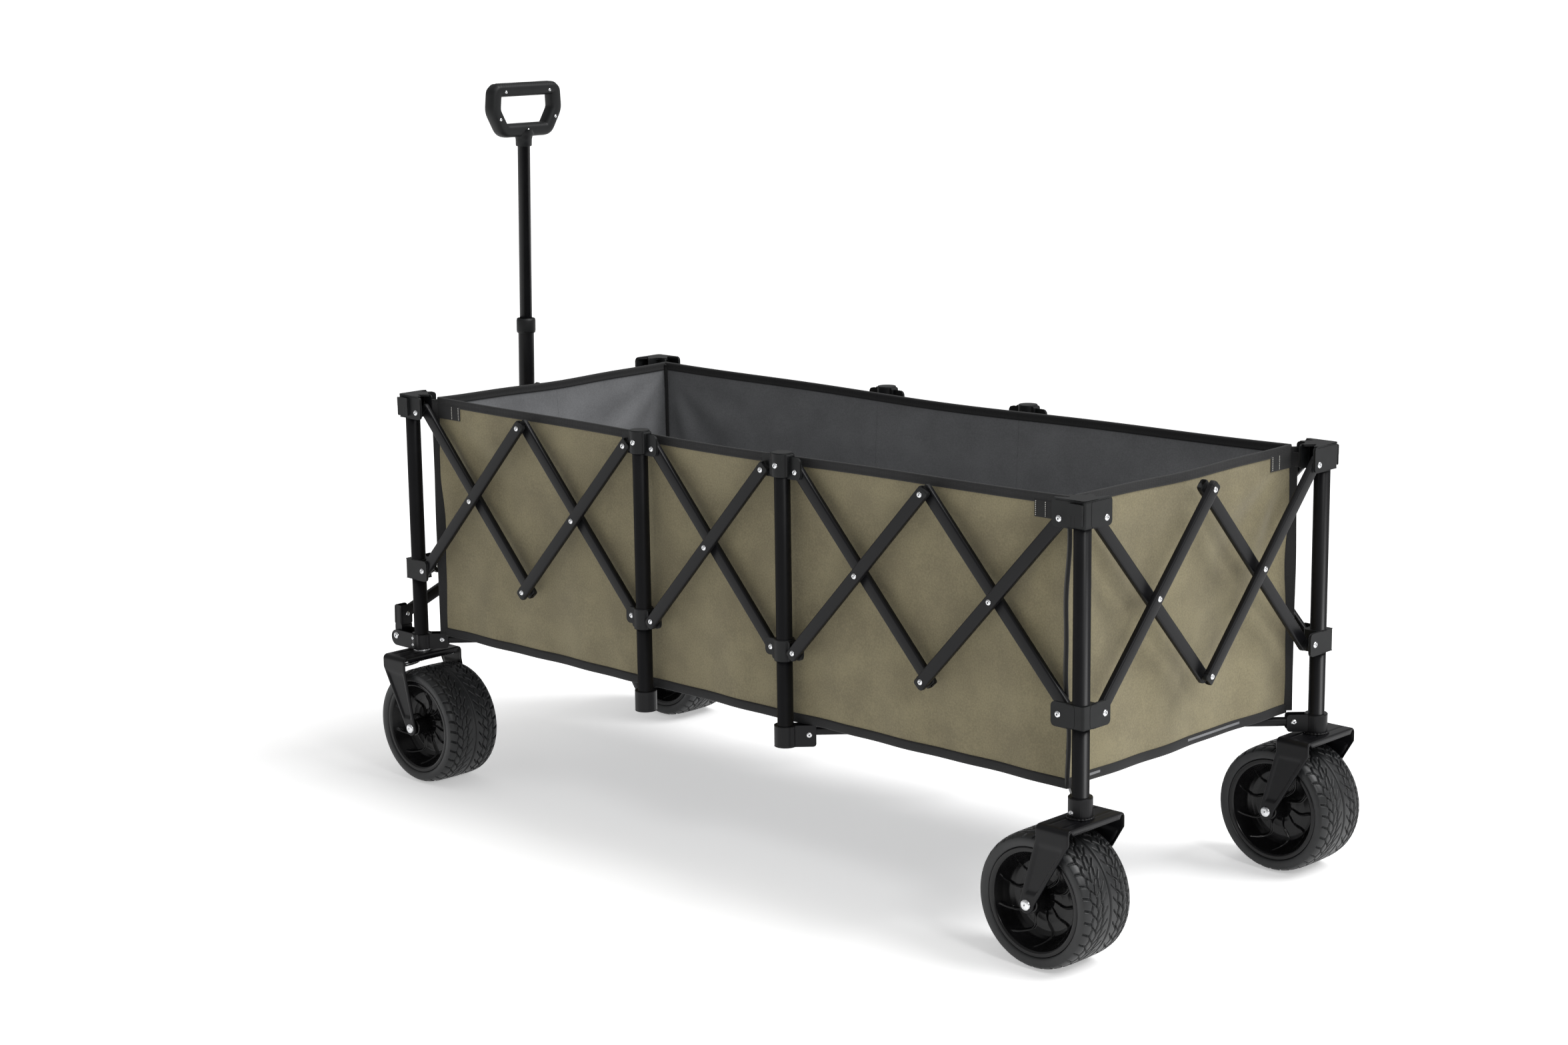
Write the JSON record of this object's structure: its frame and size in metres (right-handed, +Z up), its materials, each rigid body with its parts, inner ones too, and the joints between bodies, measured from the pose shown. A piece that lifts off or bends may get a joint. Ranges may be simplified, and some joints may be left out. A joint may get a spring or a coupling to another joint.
{
  "type": "folding camp wagon",
  "caption": "Long folding camp wagon: fabric basket in a crossed-bar scissor frame on broad wheels, with swivel front casters and a tilting telescopic pull handle.",
  "frame": {"origin": "on the floor, under the middle of the overall length and width", "axes": "+X along the wagon away from the pull handle, +Z up, near side at -Y"},
  "size_m": [1.576, 0.72, 1.191],
  "materials": {
    "powder_coat": "satin black powder coat",
    "black_plastic": "moulded, fine matte grain",
    "tyre_rubber": "moulded tread, matte",
    "olive_cloth": "woven polyester, coated inside",
    "lining_cloth": "coated dark grey lining, slight sheen",
    "binding_tape": "woven black webbing",
    "zinc_steel": "bright zinc plate"
  },
  "bodies": {
    "basket": {"basket": "olive_cloth"},
    "post_rear_near": {"post_rear_near": "powder_coat"},
    "post_rear_far": {"post_rear_far": "powder_coat"},
    "post_front_near": {"post_front_near": "powder_coat"},
    "post_front_far": {"post_front_far": "powder_coat"},
    "post_mid_rear_near": {"post_mid_rear_near": "powder_coat"},
    "post_mid_rear_far": {"post_mid_rear_far": "powder_coat"},
    "post_mid_front_near": {"post_mid_front_near": "powder_coat"},
    "post_mid_front_far": {"post_mid_front_far": "powder_coat"},
    "base_front": {"base_front": "powder_coat"},
    "base_rear": {"base_rear": "powder_coat"},
    "near_bar_1_falling": {"near_bar_1_falling": "powder_coat"},
    "near_bar_1_rising": {"near_bar_1_rising": "powder_coat"},
    "slider_front_near": {"slider_front_near": "black_plastic"},
    "near_bar_2_falling": {"near_bar_2_falling": "powder_coat"},
    "near_bar_2_rising": {"near_bar_2_rising": "powder_coat"},
    "slider_mid_front_near": {"slider_mid_front_near": "black_plastic"},
    "near_bar_3_falling": {"near_bar_3_falling": "powder_coat"},
    "near_bar_3_rising": {"near_bar_3_rising": "powder_coat"},
    "near_bar_4_falling": {"near_bar_4_falling": "powder_coat"},
    "near_bar_4_rising": {"near_bar_4_rising": "powder_coat"},
    "slider_mid_rear_near": {"slider_mid_rear_near": "black_plastic"},
    "near_bar_5_falling": {"near_bar_5_falling": "powder_coat"},
    "near_bar_5_rising": {"near_bar_5_rising": "powder_coat"},
    "slider_rear_near": {"slider_rear_near": "black_plastic"},
    "rear_bar_1_falling": {"rear_bar_1_falling": "powder_coat"},
    "rear_bar_1_rising": {"rear_bar_1_rising": "powder_coat"},
    "rear_bar_2_falling": {"rear_bar_2_falling": "powder_coat"},
    "rear_bar_2_rising": {"rear_bar_2_rising": "powder_coat"},
    "far_bar_1_falling": {"far_bar_1_falling": "powder_coat"},
    "far_bar_1_rising": {"far_bar_1_rising": "powder_coat"},
    "slider_rear_far": {"slider_rear_far": "black_plastic"},
    "far_bar_2_falling": {"far_bar_2_falling": "powder_coat"},
    "far_bar_2_rising": {"far_bar_2_rising": "powder_coat"},
    "slider_mid_rear_far": {"slider_mid_rear_far": "black_plastic"},
    "far_bar_3_falling": {"far_bar_3_falling": "powder_coat"},
    "far_bar_3_rising": {"far_bar_3_rising": "powder_coat"},
    "far_bar_4_falling": {"far_bar_4_falling": "powder_coat"},
    "far_bar_4_rising": {"far_bar_4_rising": "powder_coat"},
    "slider_mid_front_far": {"slider_mid_front_far": "black_plastic"},
    "far_bar_5_falling": {"far_bar_5_falling": "powder_coat"},
    "far_bar_5_rising": {"far_bar_5_rising": "powder_coat"},
    "slider_front_far": {"slider_front_far": "black_plastic"},
    "front_bar_1_falling": {"front_bar_1_falling": "powder_coat"},
    "front_bar_1_rising": {"front_bar_1_rising": "powder_coat"},
    "front_bar_2_falling": {"front_bar_2_falling": "powder_coat"},
    "front_bar_2_rising": {"front_bar_2_rising": "powder_coat"},
    "caster_near": {"caster_near": "powder_coat"},
    "brake_near": {"brake_near": "zinc_steel"},
    "wheel_front_near": {"wheel_front_near": "tyre_rubber"},
    "wheel_rear_near": {"wheel_rear_near": "tyre_rubber"},
    "caster_far": {"caster_far": "powder_coat"},
    "brake_far": {"brake_far": "zinc_steel"},
    "wheel_front_far": {"wheel_front_far": "tyre_rubber"},
    "wheel_rear_far": {"wheel_rear_far": "tyre_rubber"},
    "handle_bracket_near": {"handle_bracket_near": "powder_coat"},
    "handle_arm_near": {"handle_arm_near": "powder_coat"},
    "handle_arm_far": {"handle_arm_far": "powder_coat"},
    "handle_lower_pole": {"handle_lower_pole": "powder_coat"},
    "handle_upper_pole": {"handle_upper_pole": "black_plastic"}
  },
  "joints": [
    {"name": "fold", "type": "slide", "parent": "basket", "child": "post_rear_near", "axis": [-0.9285, 0.3714, 0], "range_m": [0, 0.5439], "deforming": ["basket", "base_front", "base_rear"]},
    {"name": "fold_post_rear_far", "type": "slide", "parent": "basket", "child": "post_rear_far", "axis": [-0.9285, -0.3714, 0], "range_m": [0, 0.54391]},
    {"name": "fold_post_front_near", "type": "slide", "parent": "basket", "child": "post_front_near", "axis": [0.9285, 0.3714, 0], "range_m": [0, 0.54391]},
    {"name": "fold_post_front_far", "type": "slide", "parent": "basket", "child": "post_front_far", "axis": [0.9285, -0.3714, 0], "range_m": [0, 0.54391]},
    {"name": "fold_post_mid_rear_near", "type": "slide", "parent": "basket", "child": "post_mid_rear_near", "axis": [-0.4472, 0.8944, 0], "range_m": [0, 0.22585]},
    {"name": "fold_post_mid_rear_far", "type": "slide", "parent": "basket", "child": "post_mid_rear_far", "axis": [-0.4472, -0.8944, 0], "range_m": [0, 0.22585]},
    {"name": "fold_post_mid_front_near", "type": "slide", "parent": "basket", "child": "post_mid_front_near", "axis": [0.4472, 0.8944, 0], "range_m": [0, 0.22585]},
    {"name": "fold_post_mid_front_far", "type": "slide", "parent": "basket", "child": "post_mid_front_far", "axis": [0.4472, -0.8944, 0], "range_m": [0, 0.22585]},
    {"name": "fold_base_front", "type": "slide", "parent": "basket", "child": "base_front", "axis": [1, 0, 0], "range_m": [0, 0.303]},
    {"name": "fold_base_rear", "type": "slide", "parent": "basket", "child": "base_rear", "axis": [-1, 0, 0], "range_m": [0, 0.303]},
    {"name": "turn_near_bar_1_falling", "type": "hinge", "parent": "post_front_near", "child": "near_bar_1_falling", "pos_m": [-0.6955, -0.2832, 0.646], "axis": [0, 1, 0], "range_deg": [0, 34.46]},
    {"name": "turn_near_bar_1_rising", "type": "hinge", "parent": "near_bar_1_falling", "child": "near_bar_1_rising", "pos_m": [-0.5665, -0.2905, 0.5075], "axis": [0, 1, 0], "range_deg": [-68.92, 0]},
    {"name": "ride_slider_front_near", "type": "hinge", "parent": "near_bar_1_rising", "child": "slider_front_near", "pos_m": [-0.6955, -0.2978, 0.369], "axis": [0, 1, 0], "range_deg": [0, 34.46]},
    {"name": "turn_near_bar_2_rising", "type": "hinge", "parent": "post_mid_front_near", "child": "near_bar_2_rising", "pos_m": [-0.1795, -0.2978, 0.646], "axis": [0, 1, 0], "range_deg": [-34.46, 0]},
    {"name": "turn_near_bar_2_falling", "type": "hinge", "parent": "near_bar_2_rising", "child": "near_bar_2_falling", "pos_m": [-0.3085, -0.2905, 0.5075], "axis": [0, 1, 0], "range_deg": [0, 68.92]},
    {"name": "ride_slider_mid_front_near", "type": "hinge", "parent": "near_bar_2_falling", "child": "slider_mid_front_near", "pos_m": [-0.1795, -0.2832, 0.369], "axis": [0, 1, 0], "range_deg": [-34.46, 0]},
    {"name": "turn_near_bar_3_falling", "type": "hinge", "parent": "post_mid_front_near", "child": "near_bar_3_falling", "pos_m": [-0.1245, -0.2832, 0.646], "axis": [0, 1, 0], "range_deg": [0, 34.46]},
    {"name": "turn_near_bar_3_rising", "type": "hinge", "parent": "near_bar_3_falling", "child": "near_bar_3_rising", "pos_m": [0.0045, -0.2905, 0.5075], "axis": [0, 1, 0], "range_deg": [-68.92, 0]},
    {"name": "turn_near_bar_4_falling", "type": "hinge", "parent": "post_mid_rear_near", "child": "near_bar_4_falling", "pos_m": [0.1885, -0.2832, 0.646], "axis": [0, 1, 0], "range_deg": [0, 34.46]},
    {"name": "turn_near_bar_4_rising", "type": "hinge", "parent": "near_bar_4_falling", "child": "near_bar_4_rising", "pos_m": [0.3175, -0.2905, 0.5075], "axis": [0, 1, 0], "range_deg": [-68.92, 0]},
    {"name": "ride_slider_mid_rear_near", "type": "hinge", "parent": "near_bar_4_rising", "child": "slider_mid_rear_near", "pos_m": [0.1885, -0.2978, 0.369], "axis": [0, 1, 0], "range_deg": [0, 34.46]},
    {"name": "turn_near_bar_5_rising", "type": "hinge", "parent": "post_rear_near", "child": "near_bar_5_rising", "pos_m": [0.7045, -0.2978, 0.646], "axis": [0, 1, 0], "range_deg": [-34.46, 0]},
    {"name": "turn_near_bar_5_falling", "type": "hinge", "parent": "near_bar_5_rising", "child": "near_bar_5_falling", "pos_m": [0.5755, -0.2905, 0.5075], "axis": [0, 1, 0], "range_deg": [0, 68.92]},
    {"name": "ride_slider_rear_near", "type": "hinge", "parent": "near_bar_5_falling", "child": "slider_rear_near", "pos_m": [0.7045, -0.2832, 0.369], "axis": [0, 1, 0], "range_deg": [-34.46, 0]},
    {"name": "turn_rear_bar_1_falling", "type": "hinge", "parent": "post_rear_near", "child": "rear_bar_1_falling", "pos_m": [0.7257, -0.258, 0.646], "axis": [-1, 0, 0], "range_deg": [0, 34.46]},
    {"name": "turn_rear_bar_1_rising", "type": "hinge", "parent": "rear_bar_1_falling", "child": "rear_bar_1_rising", "pos_m": [0.733, -0.129, 0.5075], "axis": [-1, 0, 0], "range_deg": [-68.92, 0]},
    {"name": "turn_rear_bar_2_rising", "type": "hinge", "parent": "post_rear_far", "child": "rear_bar_2_rising", "pos_m": [0.7403, 0.258, 0.646], "axis": [-1, 0, 0], "range_deg": [-34.46, 0]},
    {"name": "turn_rear_bar_2_falling", "type": "hinge", "parent": "rear_bar_2_rising", "child": "rear_bar_2_falling", "pos_m": [0.733, 0.129, 0.5075], "axis": [-1, 0, 0], "range_deg": [0, 68.92]},
    {"name": "turn_far_bar_1_falling", "type": "hinge", "parent": "post_rear_far", "child": "far_bar_1_falling", "pos_m": [0.7045, 0.2832, 0.646], "axis": [0, -1, 0], "range_deg": [0, 34.46]},
    {"name": "turn_far_bar_1_rising", "type": "hinge", "parent": "far_bar_1_falling", "child": "far_bar_1_rising", "pos_m": [0.5755, 0.2905, 0.5075], "axis": [0, -1, 0], "range_deg": [-68.92, 0]},
    {"name": "ride_slider_rear_far", "type": "hinge", "parent": "far_bar_1_rising", "child": "slider_rear_far", "pos_m": [0.7045, 0.2978, 0.369], "axis": [0, -1, 0], "range_deg": [0, 34.46]},
    {"name": "turn_far_bar_2_rising", "type": "hinge", "parent": "post_mid_rear_far", "child": "far_bar_2_rising", "pos_m": [0.1885, 0.2978, 0.646], "axis": [0, -1, 0], "range_deg": [-34.46, 0]},
    {"name": "turn_far_bar_2_falling", "type": "hinge", "parent": "far_bar_2_rising", "child": "far_bar_2_falling", "pos_m": [0.3175, 0.2905, 0.5075], "axis": [0, -1, 0], "range_deg": [0, 68.92]},
    {"name": "ride_slider_mid_rear_far", "type": "hinge", "parent": "far_bar_2_falling", "child": "slider_mid_rear_far", "pos_m": [0.1885, 0.2832, 0.369], "axis": [0, -1, 0], "range_deg": [-34.46, 0]},
    {"name": "turn_far_bar_3_falling", "type": "hinge", "parent": "post_mid_rear_far", "child": "far_bar_3_falling", "pos_m": [0.1335, 0.2832, 0.646], "axis": [0, -1, 0], "range_deg": [0, 34.46]},
    {"name": "turn_far_bar_3_rising", "type": "hinge", "parent": "far_bar_3_falling", "child": "far_bar_3_rising", "pos_m": [0.0045, 0.2905, 0.5075], "axis": [0, -1, 0], "range_deg": [-68.92, 0]},
    {"name": "turn_far_bar_4_falling", "type": "hinge", "parent": "post_mid_front_far", "child": "far_bar_4_falling", "pos_m": [-0.1795, 0.2832, 0.646], "axis": [0, -1, 0], "range_deg": [0, 34.46]},
    {"name": "turn_far_bar_4_rising", "type": "hinge", "parent": "far_bar_4_falling", "child": "far_bar_4_rising", "pos_m": [-0.3085, 0.2905, 0.5075], "axis": [0, -1, 0], "range_deg": [-68.92, 0]},
    {"name": "ride_slider_mid_front_far", "type": "hinge", "parent": "far_bar_4_rising", "child": "slider_mid_front_far", "pos_m": [-0.1795, 0.2978, 0.369], "axis": [0, -1, 0], "range_deg": [0, 34.46]},
    {"name": "turn_far_bar_5_rising", "type": "hinge", "parent": "post_front_far", "child": "far_bar_5_rising", "pos_m": [-0.6955, 0.2978, 0.646], "axis": [0, -1, 0], "range_deg": [-34.46, 0]},
    {"name": "turn_far_bar_5_falling", "type": "hinge", "parent": "far_bar_5_rising", "child": "far_bar_5_falling", "pos_m": [-0.5665, 0.2905, 0.5075], "axis": [0, -1, 0], "range_deg": [0, 68.92]},
    {"name": "ride_slider_front_far", "type": "hinge", "parent": "far_bar_5_falling", "child": "slider_front_far", "pos_m": [-0.6955, 0.2832, 0.369], "axis": [0, -1, 0], "range_deg": [-34.46, 0]},
    {"name": "turn_front_bar_1_falling", "type": "hinge", "parent": "post_front_far", "child": "front_bar_1_falling", "pos_m": [-0.7167, 0.258, 0.646], "axis": [1, 0, 0], "range_deg": [0, 34.46]},
    {"name": "turn_front_bar_1_rising", "type": "hinge", "parent": "front_bar_1_falling", "child": "front_bar_1_rising", "pos_m": [-0.724, 0.129, 0.5075], "axis": [1, 0, 0], "range_deg": [-68.92, 0]},
    {"name": "turn_front_bar_2_rising", "type": "hinge", "parent": "post_front_near", "child": "front_bar_2_rising", "pos_m": [-0.7313, -0.258, 0.646], "axis": [1, 0, 0], "range_deg": [-34.46, 0]},
    {"name": "turn_front_bar_2_falling", "type": "hinge", "parent": "front_bar_2_rising", "child": "front_bar_2_falling", "pos_m": [-0.724, -0.129, 0.5075], "axis": [1, 0, 0], "range_deg": [0, 68.92]},
    {"name": "caster_swivel_near", "type": "hinge", "parent": "post_front_near", "child": "caster_near", "pos_m": [-0.724, -0.2905, 0.222], "axis": [0, 0, 1], "continuous": true},
    {"name": "brake_press_near", "type": "hinge", "parent": "caster_near", "child": "brake_near", "pos_m": [-0.716, -0.2905, 0.209], "axis": [0, -1, 0], "range_deg": [0, 18]},
    {"name": "wheel_spin_front_near", "type": "hinge", "parent": "caster_near", "child": "wheel_front_near", "pos_m": [-0.684, -0.2905, 0.1], "axis": [0, 1, 0], "continuous": true},
    {"name": "wheel_spin_rear_near", "type": "hinge", "parent": "post_rear_near", "child": "wheel_rear_near", "pos_m": [0.688, -0.2905, 0.1], "axis": [0, 1, 0], "continuous": true},
    {"name": "caster_swivel_far", "type": "hinge", "parent": "post_front_far", "child": "caster_far", "pos_m": [-0.724, 0.2905, 0.222], "axis": [0, 0, 1], "continuous": true},
    {"name": "brake_press_far", "type": "hinge", "parent": "caster_far", "child": "brake_far", "pos_m": [-0.716, 0.2905, 0.209], "axis": [0, -1, 0], "range_deg": [0, 18]},
    {"name": "wheel_spin_front_far", "type": "hinge", "parent": "caster_far", "child": "wheel_front_far", "pos_m": [-0.684, 0.2905, 0.1], "axis": [0, 1, 0], "continuous": true},
    {"name": "wheel_spin_rear_far", "type": "hinge", "parent": "post_rear_far", "child": "wheel_rear_far", "pos_m": [0.688, 0.2905, 0.1], "axis": [0, 1, 0], "continuous": true},
    {"name": "handle_tilt", "type": "hinge", "parent": "post_front_near", "child": "handle_bracket_near", "pos_m": [-0.774, -0.2905, 0.243], "axis": [0, -1, 0], "range_deg": [0, 95]},
    {"name": "fold_handle_arm_near", "type": "hinge", "parent": "handle_bracket_near", "child": "handle_arm_near", "pos_m": [-0.7729, -0.288, 0.27998], "axis": [0.9996, 0, -0.0297], "range_deg": [0, 56.66]},
    {"name": "fold_handle_pole", "type": "hinge", "parent": "handle_arm_near", "child": "handle_lower_pole", "pos_m": [-0.76992, -0.026, 0.38051], "axis": [0.9996, 0, -0.0297], "range_deg": [-56.66, 0]},
    {"name": "fold_handle_arm_far", "type": "hinge", "parent": "handle_lower_pole", "child": "handle_arm_far", "pos_m": [-0.76992, 0.026, 0.38051], "axis": [0.9996, 0, -0.0297], "range_deg": [-56.66, 0]},
    {"name": "handle_slide", "type": "slide", "parent": "handle_lower_pole", "child": "handle_upper_pole", "axis": [0.0297, 0, 0.9996], "range_m": [-0.285, 0]}
  ],
  "couplings": [
    {"joint": "fold_post_rear_far", "follows": "fold", "ratio": 1},
    {"joint": "fold_post_front_near", "follows": "fold", "ratio": 1},
    {"joint": "fold_post_front_far", "follows": "fold", "ratio": 1},
    {"joint": "fold_post_mid_rear_near", "follows": "fold", "ratio": 0.41523},
    {"joint": "fold_post_mid_rear_far", "follows": "fold", "ratio": 0.41523},
    {"joint": "fold_post_mid_front_near", "follows": "fold", "ratio": 0.41523},
    {"joint": "fold_post_mid_front_far", "follows": "fold", "ratio": 0.41523},
    {"joint": "fold_base_front", "follows": "fold", "ratio": 0.55709},
    {"joint": "fold_base_rear", "follows": "fold", "ratio": 0.55709},
    {"joint": "turn_near_bar_1_falling", "follows": "fold", "rad_per_m": 1.1057},
    {"joint": "turn_near_bar_1_rising", "follows": "fold", "rad_per_m": -2.2115},
    {"joint": "ride_slider_front_near", "follows": "fold", "rad_per_m": 1.1057},
    {"joint": "turn_near_bar_2_rising", "follows": "fold", "rad_per_m": -1.1057},
    {"joint": "turn_near_bar_2_falling", "follows": "fold", "rad_per_m": 2.2115},
    {"joint": "ride_slider_mid_front_near", "follows": "fold", "rad_per_m": -1.1057},
    {"joint": "turn_near_bar_3_falling", "follows": "fold", "rad_per_m": 1.1057},
    {"joint": "turn_near_bar_3_rising", "follows": "fold", "rad_per_m": -2.2115},
    {"joint": "turn_near_bar_4_falling", "follows": "fold", "rad_per_m": 1.1057},
    {"joint": "turn_near_bar_4_rising", "follows": "fold", "rad_per_m": -2.2115},
    {"joint": "ride_slider_mid_rear_near", "follows": "fold", "rad_per_m": 1.1057},
    {"joint": "turn_near_bar_5_rising", "follows": "fold", "rad_per_m": -1.1057},
    {"joint": "turn_near_bar_5_falling", "follows": "fold", "rad_per_m": 2.2115},
    {"joint": "ride_slider_rear_near", "follows": "fold", "rad_per_m": -1.1057},
    {"joint": "turn_rear_bar_1_falling", "follows": "fold", "rad_per_m": 1.1057},
    {"joint": "turn_rear_bar_1_rising", "follows": "fold", "rad_per_m": -2.2115},
    {"joint": "turn_rear_bar_2_rising", "follows": "fold", "rad_per_m": -1.1057},
    {"joint": "turn_rear_bar_2_falling", "follows": "fold", "rad_per_m": 2.2115},
    {"joint": "turn_far_bar_1_falling", "follows": "fold", "rad_per_m": 1.1057},
    {"joint": "turn_far_bar_1_rising", "follows": "fold", "rad_per_m": -2.2115},
    {"joint": "ride_slider_rear_far", "follows": "fold", "rad_per_m": 1.1057},
    {"joint": "turn_far_bar_2_rising", "follows": "fold", "rad_per_m": -1.1057},
    {"joint": "turn_far_bar_2_falling", "follows": "fold", "rad_per_m": 2.2115},
    {"joint": "ride_slider_mid_rear_far", "follows": "fold", "rad_per_m": -1.1057},
    {"joint": "turn_far_bar_3_falling", "follows": "fold", "rad_per_m": 1.1057},
    {"joint": "turn_far_bar_3_rising", "follows": "fold", "rad_per_m": -2.2115},
    {"joint": "turn_far_bar_4_falling", "follows": "fold", "rad_per_m": 1.1057},
    {"joint": "turn_far_bar_4_rising", "follows": "fold", "rad_per_m": -2.2115},
    {"joint": "ride_slider_mid_front_far", "follows": "fold", "rad_per_m": 1.1057},
    {"joint": "turn_far_bar_5_rising", "follows": "fold", "rad_per_m": -1.1057},
    {"joint": "turn_far_bar_5_falling", "follows": "fold", "rad_per_m": 2.2115},
    {"joint": "ride_slider_front_far", "follows": "fold", "rad_per_m": -1.1057},
    {"joint": "turn_front_bar_1_falling", "follows": "fold", "rad_per_m": 1.1057},
    {"joint": "turn_front_bar_1_rising", "follows": "fold", "rad_per_m": -2.2115},
    {"joint": "turn_front_bar_2_rising", "follows": "fold", "rad_per_m": -1.1057},
    {"joint": "turn_front_bar_2_falling", "follows": "fold", "rad_per_m": 2.2115},
    {"joint": "fold_handle_arm_near", "follows": "fold", "rad_per_m": 1.818},
    {"joint": "fold_handle_pole", "follows": "fold", "rad_per_m": -1.818},
    {"joint": "fold_handle_arm_far", "follows": "fold", "rad_per_m": -1.818}
  ]
}
